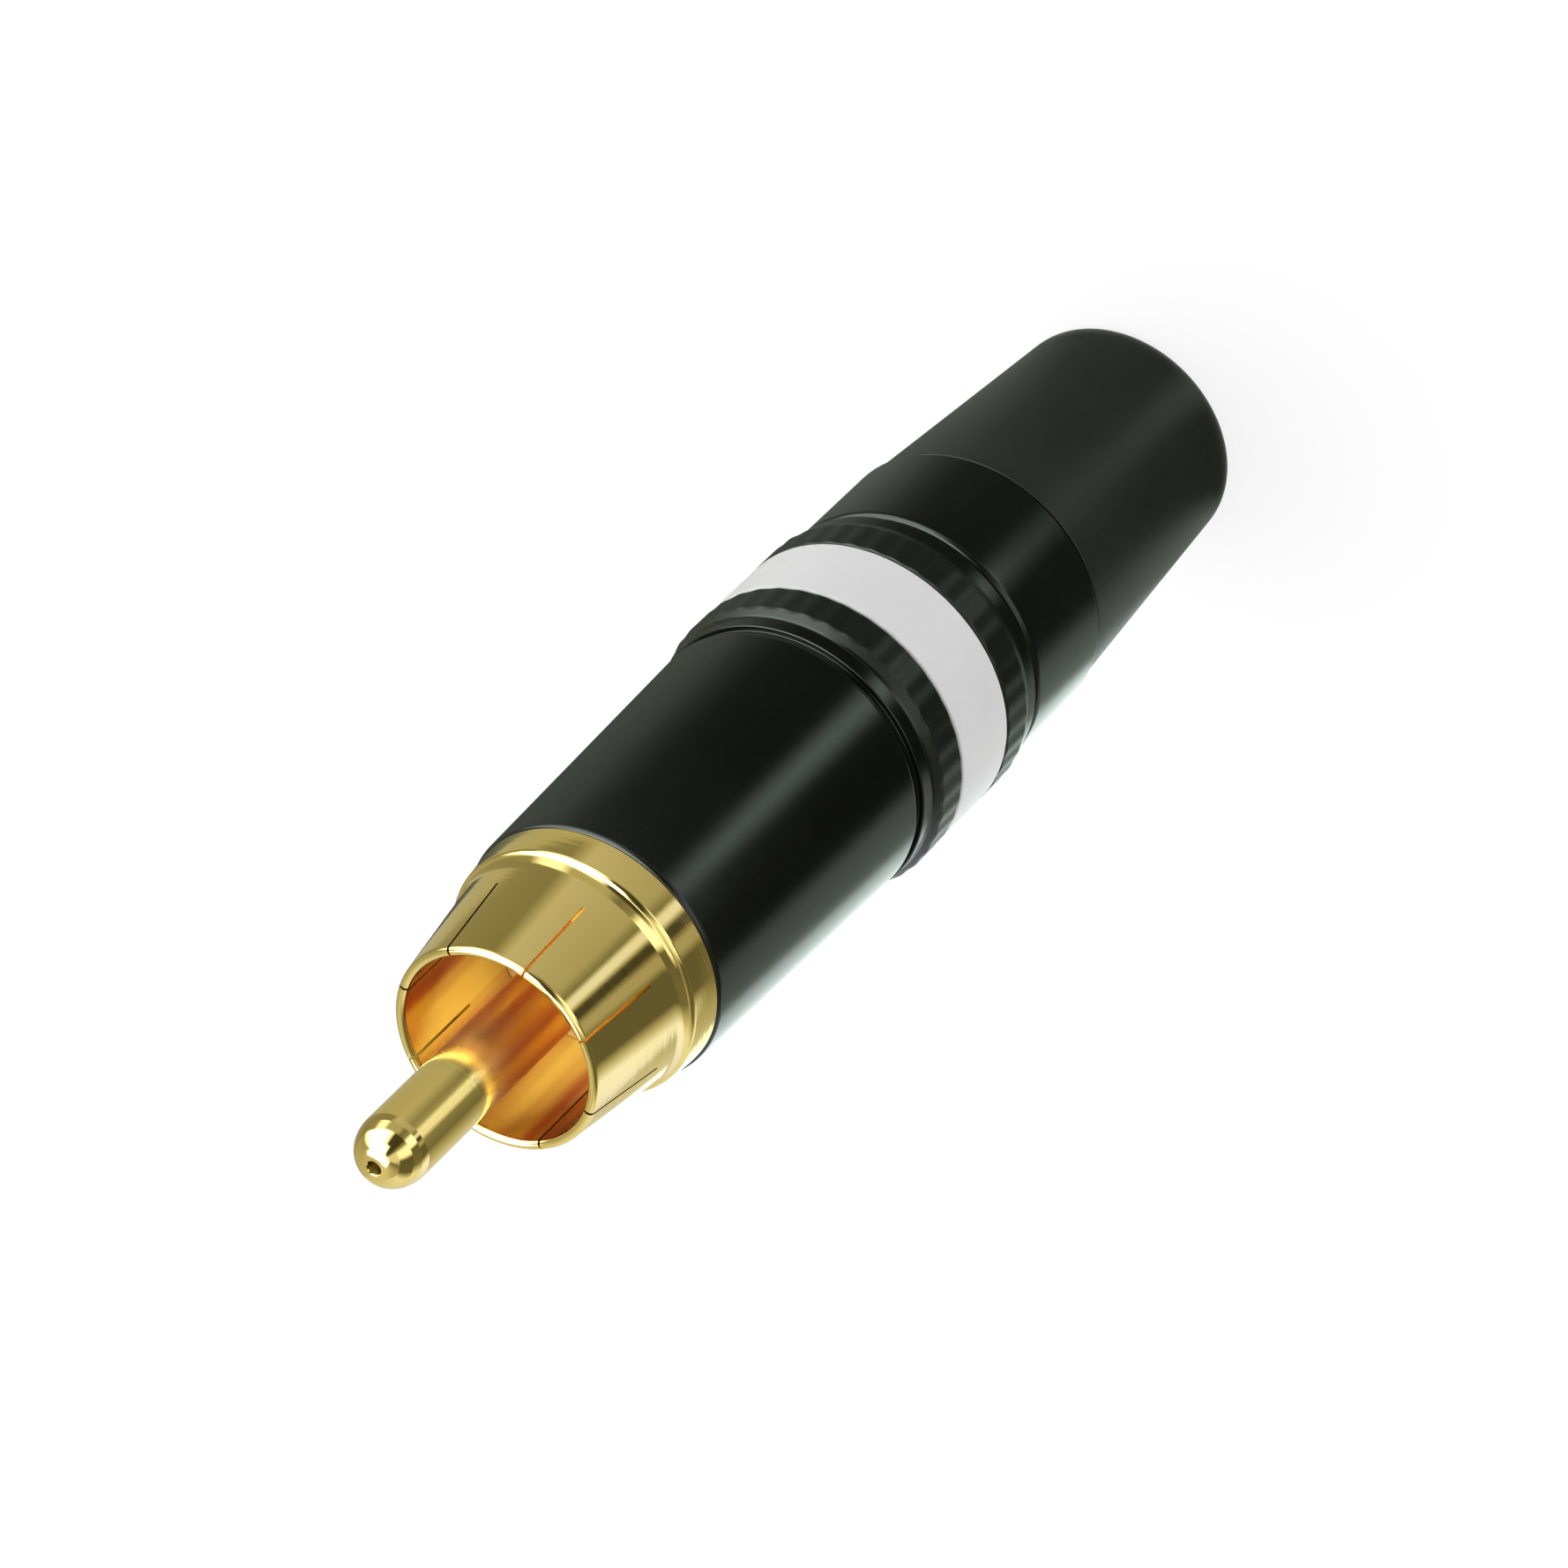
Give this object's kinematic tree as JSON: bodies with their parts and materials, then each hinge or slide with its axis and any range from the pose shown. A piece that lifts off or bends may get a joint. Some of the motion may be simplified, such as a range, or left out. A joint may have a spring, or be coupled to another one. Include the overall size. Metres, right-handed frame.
{
  "type": "rca plug",
  "caption": "Screw-together phono cable plug: slit gold ground sleeve with centre pin, black knurled metal shell, white coding ring and tapered rear boot with a cable hole.",
  "frame": {"origin": "centre of the boot's rear face, which the plug stands on", "axes": "+Z along the plug's axis towards the pin tip, +X through the solder tag and one pair of slits"},
  "size_m": [0.0138, 0.0138, 0.0618],
  "materials": {
    "black_lacquer": "glossy black lacquer on turned metal",
    "gold_plate": "polished gold plating",
    "amber_plastic": "plain moulded insulator",
    "white_plastic": "smooth moulded white",
    "ivory_plastic": "plain moulded collet",
    "boot_black": "satin black elastomer"
  },
  "bodies": {
    "plug_front": {"front_shell": "black_lacquer", "ground_sleeve": "gold_plate", "pin_insulator": "amber_plastic", "centre_pin": "gold_plate", "ground_tag": "gold_plate", "cable_chuck": "ivory_plastic"},
    "ring": {"colour_ring": "white_plastic"},
    "plug_rear": {"rear_bushing": "black_lacquer", "cable_boot": "boot_black"}
  },
  "joints": [
    {"name": "bushing_travel", "type": "slide", "parent": "plug_front", "child": "ring", "axis": [0, 0, -1], "range_m": [0, 0.004]},
    {"name": "bushing_turn", "type": "hinge", "parent": "ring", "child": "plug_rear", "pos_m": [0, 0, 0.0184], "axis": [0, 0, -1], "range_deg": [0, 1440]}
  ],
  "couplings": [
    {"joint": "bushing_travel", "follows": "bushing_turn", "m_per_rad": 0.00015915}
  ]
}
